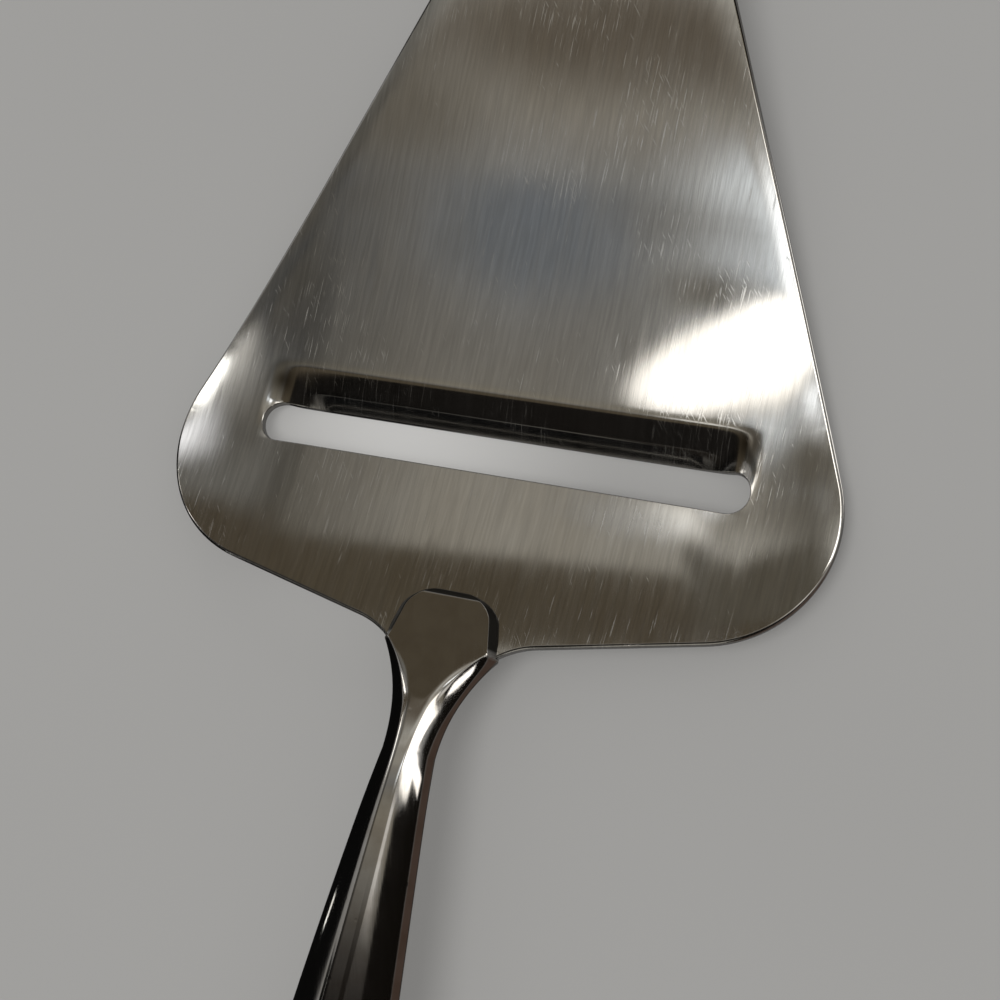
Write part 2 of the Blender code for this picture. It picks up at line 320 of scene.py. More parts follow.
def droop(x, s):
    """How far the blade's side edges are rolled down."""
    to_edge = (SIDE_AT_SLOT - SIDE_SLOPE * s - abs(x)) / hypot(1.0, SIDE_SLOPE)
    return DROOP * clamp(1.0 - to_edge / DROOP_RUN) ** 2 * smooth((s - DROOP_START) / -DROOP_START)


def thickness_left(x, s):
    """The share of the sheet's thickness that grinding the lip's bevel leaves."""
    if s < SLOT_WIDTH / 2:
        return 1.0
    straight = (SLOT_LENGTH - SLOT_WIDTH) / 2
    ground = soft_ramp(1.0 - max(s - SLOT_WIDTH, 0.0) / BEVEL_RUN, BEVEL_BEND)
    return 1.0 - (1.0 - EDGE_LEFT / SHEET) * min(ground, 1.0) * smooth((straight - abs(x)) / BEVEL_END_RUN)


def press(x, s, n):
    """The height of a point of the flat sheet after pressing and grinding."""
    below = lip_drop(x, s) + dish_drop(x, s) + droop(x, s)
    return (n + SHEET / 2) * thickness_left(x, s) - SHEET / 2 - below


def filled(name, outlines):
    """A flat mesh that fills the outlines."""
    curve = bpy.data.curves.new(name, "CURVE")
    curve.dimensions = "2D"
    curve.fill_mode = "BOTH"
    for outline in outlines:
        spline = curve.splines.new("POLY")
        spline.points.add(len(outline) - 1)
        for point, corner in zip(spline.points, outline):
            point.co = (corner.x, corner.y, 0.0, 1.0)
        spline.use_cyclic_u = True
    guide = bpy.data.objects.new(name, curve)
    bpy.context.scene.collection.objects.link(guide)
    bpy.context.view_layer.update()
    graph = bpy.context.evaluated_depsgraph_get()
    mesh = bpy.data.meshes.new_from_object(guide.evaluated_get(graph))
    bpy.data.objects.remove(guide)
    bpy.data.curves.remove(curve)
    shape = bmesh.new()
    shape.from_mesh(mesh)
    bpy.data.meshes.remove(mesh)
    bmesh.ops.remove_doubles(shape, verts=shape.verts, dist=MERGE)
    bmesh.ops.dissolve_limit(shape, angle_limit=FLAT_ANGLE, verts=shape.verts, edges=shape.edges)
    return shape


def cut_lines(shape, axis, values):
    """Cuts edges into a flat mesh at each value of x (axis 0) or y (axis 1)."""
    normal = Vector((1.0, 0.0, 0.0)) if axis == 0 else Vector((0.0, 1.0, 0.0))
    for value in values:
        everything = shape.verts[:] + shape.edges[:] + shape.faces[:]
        bmesh.ops.bisect_plane(shape, geom=everything, dist=MERGE, plane_co=normal * value, plane_no=normal)


def outward_normals(shape):
    """The direction out of the sheet at each vertex of its border."""
    outward = {}
    for edge in shape.edges:
        if not edge.is_boundary:
            continue
        first, last = edge.verts
        run = last.co - first.co
        out = Vector((run.y, -run.x, 0.0)).normalized()
        if out.dot(edge.link_faces[0].calc_center_median() - first.co) > 0.0:
            out.negate()
        for vert in edge.verts:
            outward[vert] = outward.get(vert, Vector()) + out
    return {vert: out.normalized() for vert, out in outward.items()}


def thicken(shape, thickness, rounding, round_steps):
    """Gives the flat mesh its thickness, with a lower face and a border rounded by rounding(vert)."""
    outward = outward_normals(shape)
    border = [edge.verts[:] for edge in shape.edges if edge.is_boundary]
    for vert in shape.verts:
        vert.co.z = thickness / 2
    upper_faces = shape.faces[:]
    lower = {vert: shape.verts.new((vert.co.x, vert.co.y, -thickness / 2)) for vert in shape.verts[:]}
    for face in upper_faces:
        shape.faces.new([lower[vert] for vert in reversed(face.verts)])
    turns = [pi / 2 * i / round_steps for i in range(1, round_steps + 1)]
    columns = {}
    for vert, out in outward.items():
        flat = Vector((vert.co.x, vert.co.y, 0.0))
        size = rounding(vert)
        upper_rim = [(size * sin(turn), thickness / 2 - size * (1.0 - cos(turn))) for turn in turns]
        rim = upper_rim + [(out_run, -height) for out_run, height in reversed(upper_rim)]
        made = [shape.verts.new(flat + out * run + Vector((0.0, 0.0, height))) for run, height in rim]
        columns[vert] = [vert, *made, lower[vert]]
    for first, last in border:
        near, far = columns[first], columns[last]
        for i in range(2 * round_steps + 1):
            shape.faces.new((near[i], far[i], far[i + 1], near[i + 1]))
        for level in (0, -1):
            shape.edges.get((near[level], far[level])).smooth = False
    bmesh.ops.recalc_face_normals(shape, faces=shape.faces[:])


def sheet_lines(shape):
    """Cuts the blank finely enough to bend, dish and press it smoothly."""
    lip_top = SLOT_WIDTH + LIP_FACE + LIP_MARGIN
    end_from = SLOT_LENGTH / 2 - SLOT_END_INSIDE
    end_to = SLOT_LENGTH / 2 + SLOT_END_OUTSIDE
    cut_lines(shape, 1, steps(TANG_END, TIP, SHEET_STEP))
    cut_lines(shape, 1, steps(-SHEET, SLOT_WIDTH, SLOT_STEP))
    cut_lines(shape, 1, steps(SLOT_WIDTH, lip_top, LIP_STEP))
    cut_lines(shape, 0, steps(-SIDE_AT_SLOT, SIDE_AT_SLOT, SHEET_STEP))
    for side in (-1, 1):
        cut_lines(shape, 0, [side * x for x in steps(end_from, end_to, SLOT_END_STEP)])


def edge_rounding(vert):
    """The rounding of the border at a vertex: small round the slot and large outside."""
    at_slot = abs(vert.co.x) < SLOT_LENGTH / 2 + SHEET and -SHEET < vert.co.y < SLOT_WIDTH + SHEET
    return SLOT_ROUND if at_slot else EDGE_ROUND


def make_blade():
    """The blade, with UVs along its grain that the brushed steel takes its direction from."""
    shape = filled("blade_blank", [blade_outline(-EDGE_ROUND - TRIM), slot_outline(SLOT_ROUND)])
    sheet_lines(shape)
    thicken(shape, SHEET, edge_rounding, RIM_STEPS)
    grain = shape.loops.layers.uv.new("grain")
    for face in shape.faces:
        for loop in face.loops:
            loop[grain].uv = loop.vert.co.xy / SIDE_AT_SLOT
    for vert in shape.verts:
        x, s, n = vert.co
        vert.co = place(x, s, press(x, s, n))
    bmesh.ops.triangulate(shape, faces=[face for face in shape.faces if len(face.verts) > 4])
    for face in shape.faces:
        face.smooth = True
    return new_piece("worn_blade", shape)


# Handle

def rounding_left(run_left, run, cap, power):
    """The share of the full size that is left within a rounded end, run long, at run_left from its end."""
    gone = clamp(1.0 - run_left / run)
    return cap + (1.0 - cap) * (1.0 - gone**power) ** (1.0 / power)


def half_width(s):
    if s > TONGUE_CORNER:
        share = (TONGUE_END - s) / (TONGUE_END - TONGUE_CORNER)
        return TONGUE_HALF_TOP + (TONGUE_HALF - TONGUE_HALF_TOP) * share
    if s > NECK:
        share = (s - NECK) / (TONGUE_CORNER - NECK)
        return NECK_HALF + (TONGUE_HALF - NECK_HALF) * share**TONGUE_POWER
    share = min((NECK - s) / SWELL_RUN, 1.0)
    return NECK_HALF + (SWELL_HALF - NECK_HALF) * sin(share * pi / 2)


def half_height(s):
    share = clamp(soft_ramp(TONGUE_CORNER - s, TONGUE_EASE) / SWELL_RUN)
    return TONGUE_HEIGHT - TRIM + (SWELL_HEIGHT - TONGUE_HEIGHT) * sin(share * pi / 2)


def grip_share(s):
    """0 on the tongue and 1 along the grip."""
    return clamp((TONGUE_CORNER - s) / STRIP_RUN)


def strip_share(s):
    """How much of the width the strip along the handle's face takes up."""
    return STRIP_SHARE_GRIP + (STRIP_SHARE_TONGUE - STRIP_SHARE_GRIP) * (1.0 - grip_share(s)) ** STRIP_POWER


def section_sizes(s):
    """Half the width, half the height and half the strip's width of the handle at s."""
    to_end, to_tongue = s - HANDLE_END, TONGUE_END - s
    end = rounding_left(to_end - TRIM, END_ROUND - TRIM, END_CAP_SHARE, END_POWER)
    plan = min(end, rounding_left(to_tongue, TONGUE_ROUND, END_CAP_SHARE, TONGUE_END_POWER))
    rise = min(end, rounding_left(to_tongue, TONGUE_RIM, RIM_CAP_SHARE, END_POWER))
    wide = half_width(s) * plan
    return wide, half_height(s) * rise, wide * strip_share(s)


def bezier(start, corner, end, count):
    """Points of the round curve that replaces a corner, from start to end."""
    points = []
    for i in range(count + 1):
        t = i / count
        points.append(start * (1.0 - t) ** 2 + corner * (2.0 * t * (1.0 - t)) + end * t**2)
    return points


def half_section(s, side):
    """The outside of one half of the handle, as (x, n) points: side is 1 at the front and -1 at the back."""
    wide, high, strip = section_sizes(s)
    ease = min(RIDGE_EASE, RIDGE_EASE_SHARE * strip)
    fall = RIDGE_SLOPE * smooth((TONGUE_CORNER - s) / RIDGE_RUN) * ease / 2
    ridge_n = high - fall
    round_size = min(RIDGE_ROUND, RIDGE_ROUND_SHARE * min(strip, wide - strip, ridge_n))
    foot = TONGUE_FOOT * smooth((s - TONGUE_CORNER) / FOOT_RUN)

    def bevel(n):
        spread = foot * clamp(2.0 - 2.0 * n / TONGUE_HEIGHT) ** 2
        return Vector((strip + (wide - strip) * (1.0 - (n / ridge_n) ** BEVEL_POWER) + spread, n))

    def strip_face(x):
        return Vector((x, high - fall * clamp((x - strip + ease) / ease) ** 2))

    bevel_fall = (wide - strip) * BEVEL_POWER / ridge_n
    low_n = ridge_n - round_size / hypot(1.0, bevel_fall)
    lowest = SEAM / 2 + SEAM_CHAMFER
    right = [Vector((wide - SEAM_CHAMFER, SEAM / 2))]
    right += [bevel(n) for n in steps(lowest, low_n, (low_n - lowest) / BEVEL_STEPS)]
    right += bezier(right[-1], Vector((strip, ridge_n)), strip_face(strip - round_size), RIDGE_STEPS)[1:]
    edge, inner = right[-1].x, strip - ease
    right += [strip_face(x) for x in steps(edge, inner, (edge - inner) / EASE_STEPS)[1:]]
    right += [strip_face(x) for x in steps(inner, 0.0, inner / STRIP_STEPS)[1:-1]]
    left = [Vector((-point.x, point.y)) for point in reversed(right)]
    return [(point.x, side * point.y) for point in right + [strip_face(0.0)] + left]


def hollow_section(s):
    """The inside of the handle, SHELL within its outside, as (x, n) points."""
    wide, high, strip = section_sizes(s)
    wide, high, strip = wide - SHELL, high - SHELL, max(strip - SHELL / 2, SHELL / 2)
    right = []
    for n in steps(0.0, high, high / WALL_STEPS):
        right.append((strip + (wide - strip) * (1.0 - (n / high) ** BEVEL_POWER), n))
    upper = right + [(-x, n) for x, n in reversed(right)]
    return upper + [(x, -n) for x, n in reversed(upper[1:-1])]


def end_stations(start, stop, count):
    """Stations round an end, closing up towards stop."""
    return [start + (stop - start) * sin(i / count * pi / 2) for i in range(count + 1)]


def handle_stations(fine):
    """Stations along the handle from the tongue to the end: fine is the step at the neck."""
    runs = [
        end_stations(TONGUE_END - TONGUE_ROUND, TONGUE_END, TONGUE_END_STEPS)[::-1],
        steps(TONGUE_END - TONGUE_ROUND, TONGUE_CORNER, fine),
        steps(TONGUE_CORNER, NECK, fine),
        steps(NECK, HANDLE_END + END_ROUND, GRIP_COARSENESS * fine),
        end_stations(HANDLE_END + END_ROUND, HANDLE_END + TRIM, HANDLE_END_STEPS),
    ]
    stations = runs[0]
    for run in runs[1:]:
        stations = stations + run[1:]
    return stations


def loft(sections):
    """A closed solid through (s, section) pairs, each section a ring of as many (x, n) points."""
    shape = bmesh.new()
    rings = [[shape.verts.new(place(x, s, n)) for x, n in section] for s, section in sections]
    for near, far in zip(rings, rings[1:]):
        for i, corner in enumerate(near):
            shape.faces.new((near[i - 1], corner, far[i]))
            shape.faces.new((near[i - 1], far[i], far[i - 1]))
    for ring in (rings[0], rings[-1]):
        middle = shape.verts.new(sum((vert.co for vert in ring), Vector()) / len(ring))
        for i, corner in enumerate(ring):
            shape.faces.new((ring[i - 1], corner, middle))
    bmesh.ops.recalc_face_normals(shape, faces=shape.faces[:])
    return shape


def tang_room():
    """The room that the handle leaves for the heel and the tang of the blade."""
    shape = filled("tang_room", [blade_outline(TANG_GAP)])
    cut_lines(shape, 1, steps(TANG_END, 0.0, TANG_STEP))
    thicken(shape, SHEET + 2 * TANG_GAP, lambda vert: TANG_GAP, 1)
    for vert in shape.verts:
        vert.co = place(*vert.co)
    bmesh.ops.triangulate(shape, faces=shape.faces[:])
    return shape


def cut_away(piece, cutters):
    """Takes the cutters out of the piece for good."""
    for cutter in cutters:
        boolean = piece.modifiers.new(cutter.name, "BOOLEAN")
        boolean.operation = "DIFFERENCE"
        boolean.solver = "MANIFOLD"
        boolean.object = cutter
    bpy.context.view_layer.update()
    graph = bpy.context.evaluated_depsgraph_get()
    mesh = bpy.data.meshes.new_from_object(piece.evaluated_get(graph))
    piece.modifiers.clear()
    piece.data = mesh


def make_shells():
    """The front and the back shell of the handle, hollow and with room for the tang."""
    room = new_piece("tang_room", tang_room())
    inner = [s for s in handle_stations(HOLLOW_STEP) if HOLLOW_START > s > HANDLE_END + SHELL]
    hollow_stations = [HOLLOW_START] + inner + [HANDLE_END + SHELL]
    hollow = new_piece("handle_hollow", loft([(s, hollow_section(s)) for s in hollow_stations]))
    shells = []
    for name, side in (("polished_front_shell", 1), ("polished_back_shell", -1)):
        stations = handle_stations(SHELL_STEP)
        shell = new_piece(name, loft([(s, half_section(s, side)) for s in stations]))
        cut_away(shell, [hollow, room])
        shell.data.shade_smooth()
        shell.data.set_sharp_from_angle(angle=SHARP_ANGLE)
        shells.append(shell)
    for cutter in (room, hollow):
        bpy.data.objects.remove(cutter)
    return shells


def new_piece(name, shape):
    """An object of that name, with the shape as its mesh."""
    mesh = bpy.data.meshes.new(name)
    shape.to_mesh(mesh)
    shape.free()
    made = bpy.data.objects.new(name, mesh)
    bpy.context.scene.collection.objects.link(made)
    return made


def dress(piece, surface, node_name):
    """Gives a piece its surface in its slot and its body, and hides the model's node that it stands in for.
    """
    piece.data.materials.clear()
    piece.data.materials.append(surface)
    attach(piece, "root")
    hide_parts(node_name)


# Surfaces

# Places of wear, and of the painted shade at the ends of the lip, each (x, s) and its half sizes
SCUFF_PLACE = (15.0 * MM, -2.2 * MM)
SCUFF_SIZE = (11.0 * MM, 3.0 * MM)
LIP_END_SHADE_RIGHT = (26.1 * MM, 7.4 * MM)
LIP_END_SHADE_LEFT = (-26.2 * MM, 6.9 * MM)
LIP_END_SHADE_SIZE = (2.6 * MM, 3.0 * MM)

# Painted shade round the tongue: the station it is about, the sheet's curvature there, and the spans of
# height, steepness, x and y within which it fades
TONGUE_SHADE_S = -16.0 * MM
TONGUE_SHADE_BEND = (ARCS[1][1] - ARCS[0][1]) / (ARCS[0][0] - ARCS[1][0])
TONGUE_SHADE_LOW = (0.955 * TONGUE_HEIGHT, 0.971 * TONGUE_HEIGHT)
TONGUE_SHADE_STEEP = (0.990, 0.9975)
TONGUE_SHADE_LEFT = (3.0 * MM, 4.0 * MM)
TONGUE_SHADE_BEYOND = (-3.2 * MM, -2.2 * MM)

# Streaks: size across, size along, lean and detail
FINE_GRAIN = (0.08 * MM, 2.5 * MM, radians(-1.0), 2.0)
BROAD_GRAIN = (1.1 * MM, 12.0 * MM, radians(0.5), 2.0)
BRUSHING = (0.28 * MM, 6.0 * MM, radians(1.0), 3.0)
HAIRLINES = (0.12 * MM, 6.0 * MM, radians(-14.0), 2.0)

# Scratches: size across, size along, lean and rarity
LONG_LINES = (0.13 * MM, 3.2 * MM, radians(2.0), 0.69)
SHORT_LINES = (0.11 * MM, 1.6 * MM, radians(-35.0), 0.745)
SCRATCH_EDGE = 0.08

# Noise: scale and detail
BLADE_STAINS = (90.0, 3.0)
SPECKLE = (7000.0, 2.0)
SCRATCH_GROUPS = (70.0, 1.0)
HANDLE_STAINS = (420.0, 4.0)
WAVES = (260.0, 1.0)
GRIT = (1800.0, 5.0)
FLOOR_CLOUDS = (9.0, 1.0)
PIT_SCALE = 420.0

# Spans that remap draws out, and spans that it draws them out to
WHOLE = (0.0, 1.0)
NOISE = (0.3, 0.7)
FINE_NOISE = (0.4, 0.75)
HAIR_NOISE = (0.5, 0.8)
STAIN_NOISE = (0.35, 0.7)
PATCH_NOISE = (0.4, 0.7)
PIT_EDGE = (0.05, 0.12)
GROUP_PULL = (-0.12, 0.05)
SCUFF_SHARE = (0.4, 1.0)
BRUSHED_TONE = (0.90, 1.09)
CLOUD_TONE = (0.93, 1.07)

# Colours
STEEL_DARK = (0.60, 0.575, 0.535, 1.0)
STEEL_PALE = (0.66, 0.645, 0.62, 1.0)
SCRATCH_COLOUR = (0.90, 0.89, 0.87, 1.0)
SCRATCH_SHINE = 0.6
# Painted shade at the two ends of the lip
LIP_END_SHADE_COLOUR = (0.10, 0.088, 0.07, 1.0)
FRONT_TINT = (0.62, 0.60, 0.57, 1.0)
BACK_TINT = (0.60, 0.58, 0.55, 1.0)
HANDLE_STAIN_COLOUR = (0.52, 0.485, 0.44, 1.0)
# Painted shade on the tongue's walls and edges
TONGUE_SHADE_COLOUR = (0.02, 0.018, 0.015, 1.0)
CEMENT_DARK = (0.46, 0.43, 0.38, 1.0)
CEMENT_PALE = (0.64, 0.61, 0.55, 1.0)

# Roughness, as a span or as an amount to add, and other measures of gloss
SATIN = (0.075, 0.115)
FINE_ROUGHNESS = (0.0, 0.035)
SCRATCH_ROUGHNESS = 0.12
SCUFF_ROUGHNESS = 0.16
BRUSHED_STRETCH = 0.25
POLISH = (0.06, 0.10)
HAIR_ROUGHNESS = (0.0, 0.05)
# Roughness and gloss of the painted shade round the tongue
TONGUE_SHADE_ROUGHNESS = 0.3
TONGUE_SHADE_GLOSS = 0.1
CEMENT_ROUGHNESS = (0.8, 0.95)

# Depths of the surfaces' relief
BROAD_DEPTH = 0.0030 * MM
FINE_DEPTH = 0.0016 * MM
SCRATCH_DEPTH = 0.0012 * MM
HAIR_DEPTH = 0.0008 * MM
PIT_DEPTH = 0.004 * MM
WAVE_DEPTH = 0.010 * MM
GRIT_DEPTH = 0.1 * MM
GRIT_STRENGTH = 0.4


def node(tree, kind, inputs, **settings):
    """A shader node with its settings and its inputs, each a value or a socket to link from."""
    made = tree.nodes.new("ShaderNode" + kind)
    for name, value in settings.items():
        setattr(made, name, value)
    for name, value in inputs.items():
        if isinstance(value, bpy.types.NodeSocket):
            tree.links.new(value, made.inputs[name])
        else:
            made.inputs[name].default_value = value
    return made


def new_surface(name):
    """A material, its node tree and its shader."""
    made = bpy.data.materials.new(name)
    made.use_nodes = True
    tree = made.node_tree
    return made, tree, tree.nodes["Principled BSDF"]


def calc(tree, operation, *values):
    """The result of a Math node's operation on the values, each a number or a socket."""
    return node(tree, "Math", dict(enumerate(values)), operation=operation).outputs[0]


def mix(tree, share, first, second, blend="MIX"):
    """The first colour, with a share of the second."""
    inputs = {"Fac": share, "Color1": first, "Color2": second}
    return node(tree, "MixRGB", inputs, blend_type=blend).outputs[0]


def noise(tree, coords, scale, detail):
    return node(tree, "TexNoise", {"Vector": coords, "Scale": scale, "Detail": detail}).outputs[0]


def streaks(tree, coords, across, along, lean, detail):
    """Noise drawn out along the slicer: across and along are the sizes of a streak."""
    turned = node(tree, "Mapping", {"Vector": coords, "Rotation": (0.0, 0.0, lean)}).outputs[0]
    scale = (1 / across, 1 / along, 1 / along)
    scaled = node(tree, "Mapping", {"Vector": turned, "Scale": scale}).outputs[0]
    return noise(tree, scaled, 1.0, detail)


def remap(tree, value, span, to_span):
    """The value, with one span drawn out to another and held at its ends."""
    made = node(tree, "MapRange", {"Value": value, "From Min": span[0], "From Max": span[1],
                                   "To Min": to_span[0], "To Max": to_span[1]})
    return made.outputs[0]


def soft_share(tree, value, inner, outer):
    """1 where the value is below inner and 0 above outer, with a smooth step between them."""
    made = node(tree, "MapRange", {"Value": value, "From Min": inner, "From Max": outer,
                                   "To Min": 1.0, "To Max": 0.0}, interpolation_type="SMOOTHSTEP")
    return made.outputs[0]


def bump(tree, height, distance, normal=None):
    """A shading normal over a surface that is distance times height high."""
    inputs = {"Strength": 1.0, "Distance": distance, "Height": height}
    if normal is not None:
        inputs["Normal"] = normal
    return node(tree, "Bump", inputs).outputs[0]


def scratches(tree, coords, across, along, lean, rarity):
    """Single scratches, 1 along each one and 0 between them, that come in loose groups."""
    lines = streaks(tree, coords, across, along, lean, 0.0)
    groups = remap(tree, noise(tree, coords, *SCRATCH_GROUPS), PATCH_NOISE, GROUP_PULL)
    return remap(tree, calc(tree, "ADD", lines, groups), (rarity, rarity + SCRATCH_EDGE), WHOLE)


def near_point(tree, coords, x, s, half_x, half_s):
    """1 at a point of the slicer, and 0 beyond an oval round it."""
    from_point = node(tree, "Mapping", {"Vector": coords, "Location": place(x, s, 0.0),
                                        "Scale": (half_x, half_s, half_s)}, vector_type="TEXTURE")
    radius = node(tree, "VectorMath", {0: from_point.outputs[0]}, operation="LENGTH")
    return soft_share(tree, radius.outputs["Value"], 0.0, 1.0)


def blade_surface():
    """Satin stainless steel, brushed and scratched along the blade and scuffed by the slot, with painted
    shade at the two ends of the lip.
    """
    made, tree, shader = new_surface("worn_satin_steel")
    coords = node(tree, "TexCoord", {}).outputs["Object"]
    fine = streaks(tree, coords, *FINE_GRAIN)
    broad = streaks(tree, coords, *BROAD_GRAIN)
    brushed = streaks(tree, coords, *BRUSHING)
    lines = calc(tree, "MAXIMUM", scratches(tree, coords, *LONG_LINES),
                 scratches(tree, coords, *SHORT_LINES))
    speckle = remap(tree, noise(tree, coords, *SPECKLE), NOISE, SCUFF_SHARE)
    scuff = calc(tree, "MULTIPLY", near_point(tree, coords, *SCUFF_PLACE, *SCUFF_SIZE), speckle)
    # Painted shade: soft dark patches at the two ends of the lip
    lip_end_shade = calc(tree, "ADD", near_point(tree, coords, *LIP_END_SHADE_RIGHT, *LIP_END_SHADE_SIZE),
                near_point(tree, coords, *LIP_END_SHADE_LEFT, *LIP_END_SHADE_SIZE))

    stains = remap(tree, noise(tree, coords, *BLADE_STAINS), STAIN_NOISE, WHOLE)
    tone = mix(tree, stains, STEEL_DARK, STEEL_PALE)
    tone = mix(tree, 1.0, tone, remap(tree, brushed, NOISE, BRUSHED_TONE), "MULTIPLY")
    tone = mix(tree, calc(tree, "MULTIPLY", lines, SCRATCH_SHINE), tone, SCRATCH_COLOUR)
    # Painted shade darkens the colour at the ends of the lip
    tone = mix(tree, lip_end_shade, tone, LIP_END_SHADE_COLOUR)
    rough = calc(tree, "ADD", remap(tree, broad, NOISE, SATIN),
                 remap(tree, fine, FINE_NOISE, FINE_ROUGHNESS))
    rough = calc(tree, "MULTIPLY_ADD", lines, SCRATCH_ROUGHNESS, rough)
    rough = calc(tree, "MULTIPLY_ADD", scuff, SCUFF_ROUGHNESS, rough)
    normal = bump(tree, broad, BROAD_DEPTH)
    normal = bump(tree, fine, FINE_DEPTH, normal)
    normal = bump(tree, lines, -SCRATCH_DEPTH, normal)
    tangent = node(tree, "Tangent", {}, direction_type="UV_MAP", uv_map="grain").outputs[0]

    tree.links.new(tone, shader.inputs["Base Color"])
    tree.links.new(rough, shader.inputs["Roughness"])
    tree.links.new(normal, shader.inputs["Normal"])
    tree.links.new(tangent, shader.inputs["Tangent"])
    shader.inputs["Metallic"].default_value = 1.0
    shader.inputs["Anisotropic"].default_value = BRUSHED_STRETCH
    return made


def painted_shade_round_tongue(tree, coords, facing):
    """Share of painted shade: 1 on the walls of the tongue and the edges that lead to them, and 0 elsewhere.
    """
    turn = (TILT - profile(TONGUE_SHADE_S)[2], 0.0, 0.0)
    on_blade = node(tree, "Mapping", {"Vector": coords, "Location": place(0.0, TONGUE_SHADE_S, 0.0),
                                      "Rotation": turn}, vector_type="TEXTURE")
    parts = node(tree, "SeparateXYZ", {"Vector": on_blade.outputs[0]}).outputs
    along = calc(tree, "POWER", parts["Y"], 2.0)
    level = calc(tree, "MULTIPLY_ADD", along, -TONGUE_SHADE_BEND / 2, parts["Z"])
    low = soft_share(tree, calc(tree, "ABSOLUTE", level), *TONGUE_SHADE_LOW)
    turned = node(tree, "Mapping", {"Vector": facing, "Rotation": turn}, vector_type="TEXTURE")
    outward = node(tree, "SeparateXYZ", {"Vector": turned.outputs[0]}).outputs["Z"]
    steep = soft_share(tree, calc(tree, "ABSOLUTE", outward), *TONGUE_SHADE_STEEP)
    edge = calc(tree, "MULTIPLY", steep, remap(tree, parts["X"], TONGUE_SHADE_LEFT, (1.0, 0.0)))
    beyond = remap(tree, parts["Y"], TONGUE_SHADE_BEYOND, WHOLE)
    return calc(tree, "MULTIPLY", calc(tree, "MAXIMUM", low, edge), beyond)


def handle_surface(name, tint):
    """Mirror-polished steel with hairlines, small pits, a faint waviness and painted shade round the tongue.
    """
    made, tree, shader = new_surface(name)
    point = node(tree, "TexCoord", {}).outputs
    coords = point["Object"]
    hairs = streaks(tree, coords, *HAIRLINES)
    waves = noise(tree, coords, *WAVES)
    stains = noise(tree, coords, *HANDLE_STAINS)
    cells = node(tree, "TexVoronoi", {"Vector": coords, "Scale": PIT_SCALE}).outputs["Distance"]
    pits = remap(tree, cells, PIT_EDGE, WHOLE)
    # Painted shade, near black, on the tongue's walls and edges
    shade_share = painted_shade_round_tongue(tree, coords, point["Normal"])

    tone = mix(tree, remap(tree, stains, PATCH_NOISE, WHOLE), tint, HANDLE_STAIN_COLOUR)
    # Painted shade blackens the colour round the tongue
    tone = mix(tree, shade_share, tone, TONGUE_SHADE_COLOUR)
    rough = calc(tree, "ADD", remap(tree, stains, STAIN_NOISE, POLISH),
                 remap(tree, hairs, HAIR_NOISE, HAIR_ROUGHNESS))
    rough = calc(tree, "MULTIPLY_ADD", shade_share, TONGUE_SHADE_ROUGHNESS, rough)
    normal = bump(tree, hairs, HAIR_DEPTH)
    normal = bump(tree, pits, PIT_DEPTH, normal)
    normal = bump(tree, waves, WAVE_DEPTH, normal)

    tree.links.new(tone, shader.inputs["Base Color"])
    tree.links.new(rough, shader.inputs["Roughness"])
    tree.links.new(normal, shader.inputs["Normal"])
    tree.links.new(calc(tree, "SUBTRACT", 1.0, shade_share), shader.inputs["Metallic"])
    shader.inputs["Specular IOR Level"].default_value = TONGUE_SHADE_GLOSS
    return made


def cement_surface():
    """Pale matt cement with fine grit."""
    made, tree, shader = new_surface("handle_cement_grit")
    coords = node(tree, "TexCoord", {}).outputs["Object"]
    grit = noise(tree, coords, *GRIT)
    relief = node(tree, "Bump", {"Strength": GRIT_STRENGTH, "Distance": GRIT_DEPTH, "Height": grit})
    tree.links.new(mix(tree, grit, CEMENT_DARK, CEMENT_PALE), shader.inputs["Base Color"])
    tree.links.new(remap(tree, grit, NOISE, CEMENT_ROUGHNESS), shader.inputs["Roughness"])
    tree.links.new(relief.outputs[0], shader.inputs["Normal"])
    return made


# Stage: floor, light and the cards that the metal mirrors

FLOOR_HALF = 2.0
FLOOR_COLOUR = (0.46, 0.455, 0.445, 1.0)
FLOOR_GLOW = (0.122, 0.121, 0.118, 1.0)
# Painted pool of light: the floor glows brighter round a point under the slot
POOL_CENTRE = (-12.0 * MM, 39.0 * MM, 0.0)
POOL_RADIUS = 27.0 * MM
POOL_GLOW = 1.6


def plane(name, half_x, half_y):
    """A flat rectangle about the origin."""
    shape = bmesh.new()
    bmesh.ops.create_grid(shape, x_segments=1, y_segments=1, size=1.0)
    bmesh.ops.scale(shape, vec=(half_x, half_y, 1.0), verts=shape.verts)
    made = new_piece(name, shape)
    return made


def empty_surface(name):
    """A material without a shader, and its node tree."""
    made = bpy.data.materials.new(name)
    made.use_nodes = True
    made.node_tree.nodes.clear()
    return made, made.node_tree


